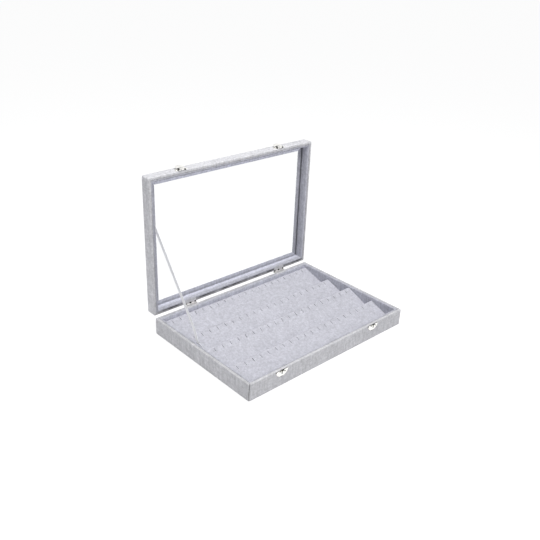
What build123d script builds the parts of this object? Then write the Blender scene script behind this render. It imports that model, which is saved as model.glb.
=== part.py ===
from build123d import *
from math import cos, radians, sin
import os

# Earring display case, standing open, in millimetres.
# The origin is the centre of the underside, X runs along the case, Y to the back, Z up.

# Case
case_length = 350
case_depth = 240
base_height = 30
lid_height = 19
board = 7
velvet = 0.75
corner_radius = 2.6
edge_radius = 1.4
inner_edge_radius = 1.5
seam_inset = 4.5
seam_gap = 0.4
turn_under = 12
floor_thickness = 2
felt_thickness = 0.8
felt_inset = 3.5

# Lid
open_angle = 90
rim_gap = 0.6
glass_thickness = 2
glass_clearance = 0.05
glass_edge_clearance = 0.3
bead_width = 6.1
bead_height = 7.8
bead_radius = 2.2
bead_back_radius = 2.4
flange_thickness = 2.15

# Insert, tiers counted from the front
front_tier_depths = [53, 55, 53]
tier_peaks = [25, 29, 23.8, 25]
ramp_thickness = 2.6
riser_thickness = 3
nose_radius = 3
nose_lip = 7
insert_clearance = 0.6
slit_count = 20
slit_pitch = 16
slit_length = 6.5
slit_width = 0.9
slit_setback = 4.5

# Hinges
hinge_spacing = 208
hinge_shift = 3
hinge_setback = 2.2
leaf_length = 24
leaf_width = 7.5
leaf_thickness = 0.6
leaf_inlet = 0.35
leaf_corner_radius = 1
pocket_clearance = 0.15
knuckle_count = 5
knuckle_gap = 0.2
barrel_radius = 1.6
hinge_pin_radius = 0.75
pin_clearance = 0.05
screw_spacing = 15
screw_inset = 3.4
screw_radius = 0.5
screw_head_radius = 1.1
screw_length = 6

# Latches and catches
latch_spacing = 209
latch_shift = -6.5
plate_width = 25.5
plate_height = 11
plate_corner_radius = 0.8
sheet = 0.6
boss_height = 0.3
boss_inset = 2.2
boss_span = 15.2
latch_axis_height = 0.9
latch_axis_clearance = 0.05
latch_plate_gap = 1.5
latch_pin_radius = 0.65
latch_knuckle_length = 5
flap_width = 14.7
flap_length = 16
flap_straight = 9.5
flap_rest_angle = 12
flap_lip_start = 12
flap_lip_drop = 1.3
flap_lip_slope = 0.6
window_width = 6
window_end = 8
catch_drop = 1
hook_width = 5
hook_radius = 1.2
hook_root = 24
hook_clearance = 0.32
nail_spacing = 19
nail_inset = 2.8
nail_radius = 0.4
nail_head_radius = 0.95
nail_head_height = 0.35
nail_length = 5

# Ribbon, its points counted back and up from the hinge axis
ribbon_width = 7
ribbon_thickness = 0.3
ribbon_wall_gap = 0.05
ribbon_lid_end = (3.4, 163.2)
ribbon_bend = (-100.7, 19.7)
ribbon_turn = (-108.2, 0.7)
ribbon_base_end = (-146.2, -10.3)

# Levels and places that follow
wall = board + 2 * velvet
board_inset = velvet + board
window_inset = wall + bead_width
base_bottom = felt_thickness
board_bottom = base_bottom + velvet
board_top = base_height - velvet
floor_top = board_bottom + floor_thickness
flange_bottom = lid_height - velvet - flange_thickness
glass_bottom = flange_bottom - glass_clearance - glass_thickness
bead_top = glass_bottom - bead_height
sides = ["front", "back", "left", "right"]
hinge_places = {"left": hinge_shift - hinge_spacing / 2, "right": hinge_shift + hinge_spacing / 2}
nail_steps = [-nail_spacing / 2, nail_spacing / 2]
latch_places = {"left": latch_shift - latch_spacing / 2, "right": latch_shift + latch_spacing / 2}

# The lid is drawn as it lies when closed, rim down, on a plane that is turned with it.
axis_origin = (0, case_depth / 2 + hinge_setback, base_height + rim_gap / 2)
closed_axis_plane = Plane(origin=axis_origin)
lid_normal = (0, sin(radians(open_angle)), cos(radians(open_angle)))
open_axis_plane = Plane(origin=axis_origin, x_dir=(1, 0, 0), z_dir=lid_normal)
lid_centre = Location((0, -hinge_setback - case_depth / 2, rim_gap / 2))
lid_plane = Plane(open_axis_plane.location * lid_centre)
base_plane = Plane.XY

# The front faces and the rims have planes whose normals point away from the case.
base_front = Plane(origin=(0, -case_depth / 2, 0), x_dir=(1, 0, 0), z_dir=(0, -1, 0))
lid_front = Plane(lid_plane.location * base_front.location)
base_rim = base_plane.offset(base_height)
lid_rim = Plane(lid_plane.location * Location((0, 0, 0), (180, 0, 0)))


def save(piece, name):
    piece.part.label = name
    export_step(piece.part, f"parts/{name}.step")


def along(plane):
    return Axis(plane.origin, plane.z_dir)


def cross_section(plane):
    return Plane(plane.location * Plane.YZ.location)


def block(plane, inset, bottom, top, corner=0.0, lower=0.0, upper=0.0):
    """A block of the case's outline, drawn in by the inset, with rounded edges."""
    with BuildPart() as body:
        with BuildSketch(plane.offset(bottom)):
            Rectangle(case_length - 2 * inset, case_depth - 2 * inset)
        extrude(amount=top - bottom)
        if corner > 0:
            fillet(body.edges().filter_by(along(plane)), corner)
        if lower > 0:
            fillet(body.faces().sort_by(along(plane))[0].edges(), lower)
        if upper > 0:
            fillet(body.faces().sort_by(along(plane))[-1].edges(), upper)
    return body.part


def mitre_wedge(plane, side, height):
    """The quarter of the case's outline that one mitred side takes."""
    half_length = case_length / 2
    half_depth = case_depth / 2
    direction = 1 if side in ("back", "right") else -1
    if side in ("front", "back"):
        ridge = half_length - half_depth
        outer = direction * half_depth
        corners = [(-half_length, outer), (half_length, outer), (ridge, 0), (-ridge, 0)]
    else:
        ridge = half_length - half_depth
        outer = direction * half_length
        corners = [(outer, -half_depth), (outer, half_depth), (direction * ridge, 0)]
    with BuildPart() as wedge:
        with BuildSketch(plane):
            Polygon(*corners, align=None)
        extrude(amount=height)
    return wedge.part


def pegs(face, points, radius, depth):
    """Round pegs that stand into a face, the space of its pilot holes."""
    with BuildPart() as group:
        with BuildSketch(face):
            with Locations(*points):
                Circle(radius)
        extrude(amount=-depth)
    return group.part


def hinge_screw_points():
    across = case_depth / 2 - screw_inset
    steps = [-screw_spacing / 2, screw_spacing / 2]
    return [(place + step, across) for place in hinge_places.values() for step in steps]


def nail_points(level):
    return [(place + step, level) for place in latch_places.values() for step in nail_steps]


def leaf_pockets(rim, direction):
    """The space of the shallow pockets into which the hinge leaves are let."""
    reach = leaf_width + pocket_clearance
    across = direction * (case_depth - reach) / 2
    with BuildPart() as pockets:
        with BuildSketch(rim):
            with Locations(*[(place, across) for place in hinge_places.values()]):
                Rectangle(leaf_length + 2 * pocket_clearance, reach)
        extrude(amount=-leaf_inlet)
    return pockets.part


# Pilot holes and pockets, cut into everything that they pass through
catch_level = base_height - catch_drop
catch_nail_points = nail_points(catch_level - nail_inset)
latch_edge = latch_axis_height + latch_plate_gap
latch_nail_points = nail_points(latch_edge + nail_inset)
lid_screw_points = [(x, -y) for x, y in hinge_screw_points()]
base_screw_holes = pegs(base_rim, hinge_screw_points(), screw_radius, screw_length)
lid_screw_holes = pegs(lid_rim, lid_screw_points, screw_radius, screw_length)
catch_nail_holes = pegs(base_front, catch_nail_points, nail_radius, nail_length)
latch_nail_holes = pegs(lid_front, latch_nail_points, nail_radius, nail_length)
base_leaf_pockets = leaf_pockets(base_rim, 1)
lid_leaf_pockets = leaf_pockets(lid_rim, -1)

os.makedirs("parts", exist_ok=True)

# Base walls
base_core = block(base_plane, velvet, board_bottom, board_top, corner_radius - velvet)

with BuildPart() as base_wall:
    add(base_core)
    with BuildSketch(base_plane.offset(board_bottom)):
        Rectangle(case_length - 2 * board_inset, case_depth - 2 * board_inset)
    extrude(amount=board_top - board_bottom, mode=Mode.SUBTRACT)
    rim_face = base_wall.faces().sort_by(Axis.Z)[-1]
    fillet(rim_face.inner_wires().edges(), inner_edge_radius - velvet)

for side in sides:
    with BuildPart() as base_board:
        add(base_wall.part)
        add(mitre_wedge(base_plane, side, base_height), mode=Mode.INTERSECT)
        if side == "front":
            add(catch_nail_holes, mode=Mode.SUBTRACT)
        if side == "back":
            add(base_screw_holes, mode=Mode.SUBTRACT)
    save(base_board, f"base_{side}_board")

with BuildPart() as base_floor:
    add(block(base_plane, board_inset, board_bottom, floor_top))
save(base_floor, "base_floor")

# Base covers: the outer velvet and the lining meet in a seam on the rim
with BuildPart() as base_outer_cover:
    add(block(base_plane, 0, base_bottom, base_height, corner_radius, velvet, edge_radius))
    add(base_core, mode=Mode.SUBTRACT)
    add(block(base_plane, seam_inset, board_top, base_height), mode=Mode.SUBTRACT)
    add(block(base_plane, turn_under, base_bottom, board_bottom), mode=Mode.SUBTRACT)
    add(base_leaf_pockets, mode=Mode.SUBTRACT)
    add(base_screw_holes, mode=Mode.SUBTRACT)
    add(catch_nail_holes, mode=Mode.SUBTRACT)
save(base_outer_cover, "base_outer_cover")

with BuildPart() as base_lining:
    add(block(base_plane, seam_inset + seam_gap, floor_top, base_height))
    add(block(base_plane, wall, floor_top, base_height), mode=Mode.SUBTRACT)
    fillet(base_lining.faces().sort_by(Axis.Z)[-1].inner_wires().edges(), inner_edge_radius)
    add(base_wall.part, mode=Mode.SUBTRACT)
    add(base_leaf_pockets, mode=Mode.SUBTRACT)
save(base_lining, "base_lining")

with BuildPart() as base_underside:
    add(block(base_plane, felt_inset, 0, felt_thickness, corner_radius))
save(base_underside, "base_underside")

# Insert: sloping ramps with rolled noses on upright risers
insert_length = case_length - 2 * (wall + insert_clearance)
insert_front = wall + insert_clearance - case_depth / 2
insert_back = case_depth / 2 - wall - insert_clearance
valley = floor_top + ramp_thickness
tier_fronts = [insert_front + sum(front_tier_depths[:count]) for count in range(len(tier_peaks))]
tier_backs = tier_fronts[1:] + [insert_back]
insert_side = Plane.YZ.offset(-insert_length / 2)

for number, (front, back, peak) in enumerate(zip(tier_fronts, tier_backs, tier_peaks), 1):
    slope = (peak - valley) / (back - front)
    riser_front = back - riser_thickness
    riser_top = peak - nose_lip
    with BuildPart() as ramp:
        with BuildSketch(insert_side) as ramp_profile:
            with BuildLine():
                Polyline(
                    (front, valley),
                    (back, peak),
                    (back, riser_top),
                    (riser_front, riser_top),
                    (riser_front, peak - slope * riser_thickness - ramp_thickness),
                    (front, valley - ramp_thickness),
                    close=True,
                )
            make_face()
            fillet(ramp_profile.vertices().sort_by(Axis.Y)[-1], nose_radius)
        extrude(amount=insert_length)
        with BuildSketch(base_plane.offset(floor_top)):
            with Locations((0, back - slit_setback - slit_length / 2)):
                with GridLocations(slit_pitch, 1, slit_count, 1):
                    Rectangle(slit_width, slit_length)
        extrude(amount=peak - floor_top, mode=Mode.SUBTRACT)
    save(ramp, f"insert_ramp_{number}")

    with BuildPart() as riser:
        with BuildSketch(base_plane.offset(floor_top)):
            with Locations((0, back - riser_thickness / 2)):
                Rectangle(insert_length, riser_thickness)
        extrude(amount=riser_top - floor_top)
    save(riser, f"insert_riser_{number}")

# Lid frame: an L-section whose flange carries the pane
lid_core = block(lid_plane, velvet, velvet, lid_height - velvet, corner_radius - velvet)

with BuildPart() as lid_frame:
    add(lid_core)
    add(block(lid_plane, board_inset, velvet, flange_bottom), mode=Mode.SUBTRACT)
    rim_face = lid_frame.faces().sort_by(along(lid_plane))[0]
    fillet(rim_face.inner_wires().edges(), inner_edge_radius - velvet)
    add(block(lid_plane, window_inset - velvet, flange_bottom, lid_height), mode=Mode.SUBTRACT)

for side in sides:
    with BuildPart() as lid_rail:
        add(lid_frame.part)
        add(mitre_wedge(lid_plane, side, lid_height), mode=Mode.INTERSECT)
        if side == "front":
            add(latch_nail_holes, mode=Mode.SUBTRACT)
        if side == "back":
            add(lid_screw_holes, mode=Mode.SUBTRACT)
    save(lid_rail, f"lid_{side}_rail")

with BuildPart() as lid_outer_cover:
    add(block(lid_plane, 0, 0, lid_height, corner_radius, edge_radius, edge_radius))
    add(lid_core, mode=Mode.SUBTRACT)
    add(block(lid_plane, seam_inset, 0, velvet), mode=Mode.SUBTRACT)
    add(block(lid_plane, window_inset - velvet, flange_bottom, lid_height))
    add(block(lid_plane, window_inset, flange_bottom, lid_height), mode=Mode.SUBTRACT)
    add(lid_leaf_pockets, mode=Mode.SUBTRACT)
    add(lid_screw_holes, mode=Mode.SUBTRACT)
    add(latch_nail_holes, mode=Mode.SUBTRACT)
save(lid_outer_cover, "lid_outer_cover")

with BuildPart() as lid_lining:
    add(block(lid_plane, seam_inset + seam_gap, 0, glass_bottom - glass_clearance))
    add(block(lid_plane, wall, 0, lid_height), mode=Mode.SUBTRACT)
    rim_face = lid_lining.faces().sort_by(along(lid_plane))[0]
    fillet(rim_face.inner_wires().edges(), inner_edge_radius)
    add(lid_frame.part, mode=Mode.SUBTRACT)
    add(lid_leaf_pockets, mode=Mode.SUBTRACT)
save(lid_lining, "lid_lining")

# Pane and the velvet-covered beads that hold it
with BuildPart() as lid_glass:
    pane_inset = board_inset + glass_edge_clearance
    add(block(lid_plane, pane_inset, glass_bottom, glass_bottom + glass_thickness))
save(lid_glass, "lid_glass")

with BuildPart() as bead_ring:
    add(block(lid_plane, wall, bead_top, glass_bottom))
    add(block(lid_plane, window_inset, bead_top, glass_bottom), mode=Mode.SUBTRACT)
    bead_face = bead_ring.faces().sort_by(along(lid_plane))[0]
    fillet(bead_face.inner_wires().edges(), bead_radius)
    bead_face = bead_ring.faces().sort_by(along(lid_plane))[0]
    fillet(bead_face.outer_wire().edges(), bead_back_radius)

for side in sides:
    with BuildPart() as lid_bead:
        add(bead_ring.part)
        add(mitre_wedge(lid_plane, side, lid_height), mode=Mode.INTERSECT)
    save(lid_bead, f"lid_{side}_bead")

# Hinges: the knuckles take turns, the base leaf has the odd ones
knuckle_length = (leaf_length - (knuckle_count - 1) * knuckle_gap) / knuckle_count
hinge_bore = hinge_pin_radius + pin_clearance
leaf_edge = barrel_radius + knuckle_gap
leaf_front = hinge_setback + leaf_width
leaf_top = leaf_thickness - leaf_inlet - rim_gap / 2


def hinge_leaf(plane, place, first_knuckle, upper):
    """One leaf, drawn under the axis for the base and over it for the lid."""
    low = -leaf_top if upper else leaf_top - leaf_thickness
    middle = low + leaf_thickness / 2
    screw_face = plane.offset(low) if upper else plane.offset(low + leaf_thickness)
    if upper:
        screw_face = Plane(screw_face.location * Location((0, 0, 0), (180, 0, 0)))
    across = hinge_setback + screw_inset
    with BuildPart() as leaf:
        with BuildSketch(plane.offset(low)):
            with Locations((place, -(leaf_front + leaf_edge) / 2)):
                Rectangle(leaf_length, leaf_front - leaf_edge)
        extrude(amount=leaf_thickness)
        front_corners = leaf.edges().filter_by(along(plane)).sort_by(Axis(plane.origin, plane.y_dir))
        fillet(front_corners[:2], leaf_corner_radius)
        for knuckle in range(first_knuckle, knuckle_count, 2):
            start = place - leaf_length / 2 + knuckle * (knuckle_length + knuckle_gap)
            with BuildSketch(cross_section(plane).offset(start)):
                Circle(barrel_radius)
                with Locations((-leaf_edge / 2 - knuckle_gap, middle)):
                    Rectangle(leaf_edge, leaf_thickness)
                Circle(hinge_bore, mode=Mode.SUBTRACT)
            extrude(amount=knuckle_length)
        turned = 1 if upper else -1
        for step in (-screw_spacing / 2, screw_spacing / 2):
            with Locations(screw_face.location * Location((place + step, turned * across, 0))):
                CounterSinkHole(screw_radius, screw_head_radius, counter_sink_angle=90)
    return leaf


for side, place in hinge_places.items():
    save(hinge_leaf(closed_axis_plane, place, 0, False), f"hinge_{side}_base_leaf")
    save(hinge_leaf(open_axis_plane, place, 1, True), f"hinge_{side}_lid_leaf")
    with BuildPart() as hinge_pin:
        with BuildSketch(cross_section(closed_axis_plane).offset(place - leaf_length / 2)):
            Circle(hinge_pin_radius)
        extrude(amount=leaf_length)
    save(hinge_pin, f"hinge_{side}_pin")


def screw_group(face, points):
    """Countersunk screws, their heads flush with the face."""
    head_radius = screw_head_radius - pin_clearance
    with BuildPart() as screws:
        with BuildSketch(face):
            with Locations(*points):
                Circle(head_radius)
        extrude(amount=pin_clearance - head_radius + screw_radius, taper=45)
        with BuildSketch(face):
            with Locations(*points):
                Circle(screw_radius - pin_clearance / 2)
        extrude(amount=-screw_length)
    return screws


proud = leaf_thickness - leaf_inlet
save(screw_group(base_rim.offset(proud), hinge_screw_points()), "hinge_base_screws")
save(screw_group(lid_rim.offset(proud), lid_screw_points), "hinge_lid_screws")


def half_moon(centre, level, rise):
    """A half-moon outline: a straight edge at the level, its round side towards rise."""
    left = centre - plate_width / 2
    right = centre + plate_width / 2
    with BuildSketch() as outline:
        with BuildLine():
            Line((left, level), (right, level))
            ThreePointArc((right, level), (centre, level + rise), (left, level))
        make_face()
    return outline.sketch


def half_moon_plate(face, centre, level, rise):
    """A stamped half-moon plate with a raised pad on each side of its middle."""
    with BuildPart() as plate:
        with BuildSketch(face) as outline:
            add(half_moon(centre, level, rise))
            fillet(outline.vertices(), plate_corner_radius)
        extrude(amount=sheet)
        with BuildSketch(face.offset(sheet)):
            add(half_moon(centre, level, rise))
            offset(amount=-boss_inset, kind=Kind.INTERSECTION)
            with Locations((centre, level)):
                Rectangle(boss_span, 2 * plate_height, mode=Mode.INTERSECT)
                Rectangle(window_width + 2 * sheet, 2 * plate_height, mode=Mode.SUBTRACT)
        extrude(amount=boss_height)
        chamfer(plate.faces().sort_by(along(face))[-2:].edges(), boss_height - pin_clearance)
        inset = nail_inset if rise > 0 else -nail_inset
        points = [(centre + step, level + inset) for step in nail_steps]
        add(pegs(face.offset(sheet), points, nail_radius, sheet), mode=Mode.SUBTRACT)
    return plate.part


# Latches: a plate with a rolled knuckle, a windowed flap and its pin
latch_bore = latch_pin_radius + pin_clearance
knuckle_radius = latch_bore + sheet
latch_axis_out = knuckle_radius + latch_axis_clearance
lap = sheet / 2
flap_knuckle = (flap_width - latch_knuckle_length) / 2 - knuckle_gap
flap_swing = open_angle - 90 + flap_rest_angle
flap_normal = (0, -sin(radians(flap_swing)), cos(radians(flap_swing)))

for side, place in latch_places.items():
    latch_axis = Plane(lid_front.location * Location((place, latch_axis_height, latch_axis_out)))
    flap_plane = Plane(origin=latch_axis.origin, x_dir=(1, 0, 0), z_dir=flap_normal)
    plate_section = cross_section(latch_axis)
    flap_section = cross_section(flap_plane)

    with BuildPart() as latch_plate:
        add(half_moon_plate(lid_front, place, latch_edge, plate_height))
        with BuildSketch(plate_section.offset(-latch_knuckle_length / 2)):
            Circle(knuckle_radius)
            with Locations((latch_plate_gap / 2 + lap / 2, sheet / 2 - latch_axis_out)):
                Rectangle(latch_plate_gap + lap, sheet)
            Circle(latch_bore, mode=Mode.SUBTRACT)
        extrude(amount=latch_knuckle_length)
    save(latch_plate, f"latch_{side}_plate")

    with BuildPart() as latch_flap:
        with BuildSketch(flap_section.offset(-flap_width / 2)):
            with BuildLine() as bend:
                Line((latch_bore + lap, 0), (flap_lip_start, 0))
                Spline(
                    (flap_lip_start, 0),
                    (flap_length, -flap_lip_drop),
                    tangents=[(1, 0), (1, -flap_lip_slope)],
                )
            trace(line_width=sheet)
        extrude(amount=flap_width)
        with BuildSketch(flap_plane):
            with BuildLine():
                Polyline(
                    (-flap_width / 2, flap_straight),
                    (-flap_width / 2, 0),
                    (flap_width / 2, 0),
                    (flap_width / 2, flap_straight),
                )
                ThreePointArc(
                    (flap_width / 2, flap_straight),
                    (0, flap_length),
                    (-flap_width / 2, flap_straight),
                )
            make_face()
            with Locations((0, window_end / 2)):
                Rectangle(window_width, window_end, mode=Mode.SUBTRACT)
        extrude(amount=knuckle_radius + flap_lip_drop, both=True, mode=Mode.INTERSECT)
        for start in (-flap_width / 2, flap_width / 2 - flap_knuckle):
            with BuildSketch(flap_section.offset(start)):
                Circle(knuckle_radius)
                with Locations((knuckle_radius / 2 + lap / 2, 0)):
                    Rectangle(knuckle_radius + lap, sheet)
                Circle(latch_bore, mode=Mode.SUBTRACT)
            extrude(amount=flap_knuckle)
    save(latch_flap, f"latch_{side}_flap")

    with BuildPart() as latch_pin:
        with BuildSketch(plate_section.offset(-flap_width / 2)):
            Circle(latch_pin_radius)
        extrude(amount=flap_width)
    save(latch_pin, f"latch_{side}_pin")

# Catches: the flap's window passes over a hook that curls about the closed flap's pin
for side, place in latch_places.items():
    hook_section = cross_section(Plane(base_front.location * Location((place, 0, 0))))
    hook_top = catch_level - hook_radius + sheet / 2 + hook_clearance
    with BuildPart() as catch:
        add(half_moon_plate(base_front, place, catch_level, -plate_height))
        with BuildSketch(hook_section.offset(-hook_width / 2)):
            with BuildLine():
                Line((hook_root, lap), (hook_top, lap))
                ThreePointArc(
                    (hook_top, lap),
                    (hook_top + hook_radius, lap + hook_radius),
                    (hook_top, lap + 2 * hook_radius),
                )
                Line((hook_top, lap + 2 * hook_radius), (hook_root + lap, lap + 2 * hook_radius))
            trace(line_width=sheet)
        extrude(amount=hook_width)
    save(catch, f"catch_{side}")


def nail_group(face, points):
    """Small nails with tapered heads through a plate."""
    with BuildPart() as nails:
        with BuildSketch(face.offset(sheet)):
            with Locations(*points):
                Circle(nail_head_radius)
        extrude(amount=nail_head_height, taper=45)
        with BuildSketch(face.offset(sheet)):
            with Locations(*points):
                Circle(nail_radius - pin_clearance / 2)
        extrude(amount=-nail_length)
    return nails


save(nail_group(base_front, catch_nail_points), "catch_nails")
save(nail_group(lid_front, latch_nail_points), "latch_nails")

# Ribbon: a flat strip against the left walls, from the lid down beside the insert
ribbon_start = wall + ribbon_wall_gap - case_length / 2
ribbon_plane = cross_section(closed_axis_plane).offset(ribbon_start)
with BuildPart() as ribbon:
    with BuildSketch(ribbon_plane):
        with BuildLine():
            Polyline(ribbon_lid_end, ribbon_bend, ribbon_turn, ribbon_base_end)
        trace(line_width=ribbon_width)
    extrude(amount=ribbon_thickness)
save(ribbon, "ribbon")
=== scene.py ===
import math

import bmesh
import bpy
from bpy.props import FloatProperty, FloatVectorProperty, IntProperty, PointerProperty
from mathutils import Matrix, Vector, noise


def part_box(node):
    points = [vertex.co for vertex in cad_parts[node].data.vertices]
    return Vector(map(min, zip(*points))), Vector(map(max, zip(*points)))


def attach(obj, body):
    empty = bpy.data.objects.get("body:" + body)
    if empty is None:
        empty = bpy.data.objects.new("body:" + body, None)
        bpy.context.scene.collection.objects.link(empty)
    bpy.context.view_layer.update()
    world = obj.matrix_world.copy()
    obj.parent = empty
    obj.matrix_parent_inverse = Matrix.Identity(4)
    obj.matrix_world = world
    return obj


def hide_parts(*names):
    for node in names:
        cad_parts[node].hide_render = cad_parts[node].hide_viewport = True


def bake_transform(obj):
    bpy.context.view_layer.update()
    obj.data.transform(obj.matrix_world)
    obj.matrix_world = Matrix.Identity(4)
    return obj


bl_info = {
    "name": "Display Case",
    "version": (1, 0, 0),
    "blender": (4, 5, 0),
    "location": "3D View > Sidebar > Display Case",
    "description": "Finishes a velvet display case with a glass lid on its CAD frame",
    "category": "Object",
}

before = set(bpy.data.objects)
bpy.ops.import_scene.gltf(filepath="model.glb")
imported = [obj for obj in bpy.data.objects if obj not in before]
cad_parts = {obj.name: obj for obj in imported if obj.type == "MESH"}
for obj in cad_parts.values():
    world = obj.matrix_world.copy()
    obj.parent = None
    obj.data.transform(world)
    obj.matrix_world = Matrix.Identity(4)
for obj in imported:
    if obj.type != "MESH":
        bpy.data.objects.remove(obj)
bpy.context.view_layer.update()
MM = 0.001

# Faces of the case, read from the frame
cover_low, cover_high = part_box("base_outer_cover")
lining_low, lining_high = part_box("base_lining")
board_low, board_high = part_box("base_left_board")
lid_low, lid_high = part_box("lid_outer_cover")
bead_low, bead_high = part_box("lid_front_bead")
glass_low, glass_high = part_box("lid_glass")
felt_low, felt_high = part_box("base_underside")
pin_low, pin_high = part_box("hinge_left_pin")
leaf_low, leaf_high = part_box("hinge_left_base_leaf")
HALF_LENGTH = cover_high.x
HALF_DEPTH = cover_high.y
BASE_BOTTOM = cover_low.z
BASE_TOP = cover_high.z
VELVET = board_low.x - cover_low.x
WALL = board_high.x - board_low.x + 2 * VELVET
FLOOR_TOP = lining_low.z
LID_RIM = lid_low.y
LID_DEPTH = lid_high.y - lid_low.y
LID_MIDDLE = (lid_low.z + lid_high.z) / 2
GLASS_DEPTH = glass_low.y - LID_RIM
GLASS_THICKNESS = glass_high.y - glass_low.y
WINDOW = WALL + bead_high.z - bead_low.z
AXIS_Y = (pin_low.y + pin_high.y) / 2
AXIS_Z = (pin_low.z + pin_high.z) / 2
SIDES = ("front", "back", "left", "right")
HANDS = ("left", "right")
ENDS = {"front": HANDS, "back": HANDS, "left": ("front", "back"), "right": ("front", "back")}

# The rounding of the velvet's edges, the fineness of its meshes, and how near counts as on a face
CORNER_RADIUS = 2.6 * MM
EDGE_RADIUS = 1.4 * MM
INNER_RADIUS = 1.5 * MM
LEAST_TURN = 0.25 * MM
CORNER_STEPS = 8
CORNER_DEGREES = 15
LONG_STEP = 2.5 * MM
SECTION_STEP = 3 * MM
TOUCHING = 0.001 * MM
ON_FACE = 0.1 * MM

# Where a skin counts as lying on the rim: how near the rim's height, and how far in
RIM_BAND = VELVET * 1.01
RIM_START = EDGE_RADIUS * 0.6

# The rim's seam: its gap, its sunk bed, how far its painted shade reaches, and how dark that painted shade
# is along each side
SEAM_GAP = 0.4 * MM
SEAM = HALF_LENGTH - lining_high.x - SEAM_GAP
SEAM_BED = 0.7 * MM
SEAM_LIP = 0.65 * MM
SHADE_REACH = 1.7 * MM
SHADE_SPREAD = 1.2
BASE_SEAM_SHADE = {"front": 0.1, "back": 0.25, "left": 0.1, "right": 0.15}
LID_SEAM_SHADE = {"front": 0.05, "back": 0.9, "left": 0.15, "right": 0.2}

# The lengths over which the velvet ripples, strays and changes in painted shade, how much, and their seeds
WALL_SPAN = 22 * MM
RIM_SPAN = 9 * MM
BEAD_SPAN = 12 * MM
TIER_SPAN = 24 * MM
STRAY_SPAN = 14 * MM
FINE_STRAY_SPAN = 4 * MM
SHADE_SPAN = 11 * MM
RAGGED_SPAN = 3 * MM
TIER_RIPPLE = 0.16 * MM
TIER_SURFACE = 0.6
BEAD_RIPPLE = 1.5
RAGGED_EDGE = 0.25 * MM
BEAD_SEED = 11
STRAY_SEED = 3
FINE_STRAY_SEED = 9
SHADE_SEED = 17
RAGGED_SEED = 21
RIM_SEED = 5

# How far the outer cover turns in under the base
TURN_UNDER = 12 * MM

# The upright seam in the outer cover, dented and with painted shade: its depth, half its width, its lean
# and bends, and its reach
FOLD_DEPTH = 0.5 * MM
FOLD_HALF = 1.05 * MM
FOLD_LEAN = 0.6 * MM
FOLD_BENDS = 1.4
FOLD_REACH = 1.5

# How deep and how softly the hinge leaves press into the rim
LEAF_HALF = (leaf_high.x - leaf_low.x) / 2
LEAF_REACH = HALF_DEPTH - leaf_low.y
LEAF_PRESS = 0.37 * MM
LEAF_SOFTNESS = 1.2 * MM

# The strips before the pane: their reach, their pinched ends, and their painted light on top and painted
# shade in the groove
BEAD_INSETS = {"front": 17.9 * MM, "back": 17.8 * MM, "left": 18.6 * MM, "right": 20 * MM}
BEAD_THICKNESS = 0.8 * MM
BEAD_STEP = 1.2 * MM
BEAD_DEGREES = 18
BEAD_ENDS = (0, 0.002, 0.004, 0.008)
BEAD_PAINTED_LIGHT = {"front": (-0.85, 0), "back": (-0.3, 0.6), "left": (-0.05, 0.15), "right": (0.22, 0.95)}
PINCH = 0.25
PINCH_REACH = 0.9 * MM
GROOVE_INSET = 2.4 * MM
GROOVE_HALF = 1.8 * MM

# The tiers' front and nose roundings, and how far from its front a tier's slope is read
TIERS = (1, 2, 3, 4)
FRONT_RADIUS = 0.4 * MM
NOSE_RADIUS = 3 * MM
NOSE_DEGREES = 12
SLOPE_START = 20 * MM

# The ribbon's line from lid to base, as (y, z) in mm from the hinge's axis, and its divisions
RIBBON_LINE = (
    (3.4, 163.2), (-20, 131), (-54, 84), (-80, 48.2), (-93, 30.5), (-100.4, 18.5), (-104.5, 8),
    (-109, 0.2), (-117, -3), (-128, -6), (-146, -10.3))
RIBBON_PARTS = 5
RIBBON_REPEAT = 200 * MM

# The colour of the painted shade and dark reflections in the metal's hollows, and how far from the hinge's
# axis the velvet laps over the leaves
PAINTED_DARK = (0.03, 0.03, 0.025)
LAP = 4.6 * MM

# Noise in the finishes: its scale, detail, roughness and, where it has a grain, its stretch
PILE = (900, 4, 0.7)
FLECKS = (260, 3, 0.6)
STREAKS = (420, 2, 0.5, (0.25, 0.25, 1))
UPRIGHT = (300, 2, 0.5, (1, 1, 0.16))
PATCHES = (45, 2, 0.5)
CLOUDS = (260, 3, 0.6)
BRUSHING = (1400, 2, 0.5, (1, 0.12, 1))
BOARD_FIBRES = (700, 4, 0.7, (1, 0.3, 1))
FELT_FIBRES = (520, 5, 0.75)
GLASS_DRAW = (9, 2, 0.4)
NOISE_LOW = 0.34
NOISE_HIGH = 0.66

# How strongly painted shade darkens the velvet and painted light lightens it, how strong bumps are, and
# how the plating dulls and wears
PAINTED_SHADE_STRENGTH = 0.78
BUMP_STRENGTH = 0.7
DULLEST = 1.3
BRIGHTEST = 0.8
HINGE_WEAR = 0.25
HINGE_ROUGHNESS = 0.34

# Screws and nails: their heads and shanks, and how near two points of the same one lie
SCREW_SIZES = {
    "Head Radius": 1.02 * MM, "Head Height": 0.16 * MM, "Shank Radius": 0.45 * MM,
    "Shank Length": 5.8 * MM, "Slot": (3 * MM, 0.3 * MM, 0.2 * MM)}
NAIL_SIZES = {
    "Head Radius": 0.95 * MM, "Head Height": 0.34 * MM, "Shank Radius": 0.37 * MM,
    "Shank Length": 4.9 * MM, "Slot": (0.01 * MM, 0.01 * MM, 0.01 * MM)}
HEAD_SPACING = 9 * MM

# The camera of the photograph, solved from the case's edges
CAMERA_PLACE = Vector((-701.2, -710.8, 612.95)) * MM
CAMERA_AZIMUTH = math.radians(-43.314)
CAMERA_ELEVATION = math.radians(26.645)
CAMERA_ROLL = math.radians(2.459)
CAMERA_LENS = 45.146
SENSOR = 36

# The studio: each light's place, aim and size, and half the floor's width
KEY_LIGHT = ((-0.05, -0.2, 1.25), (-0.02, 0, 0.05), 0.8)
FILL_LIGHT = ((-1.4, -1.3, 0.7), (0, 0, 0.1), 1.2)
FLOOR_REACH = 40


# Properties a user would change

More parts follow.
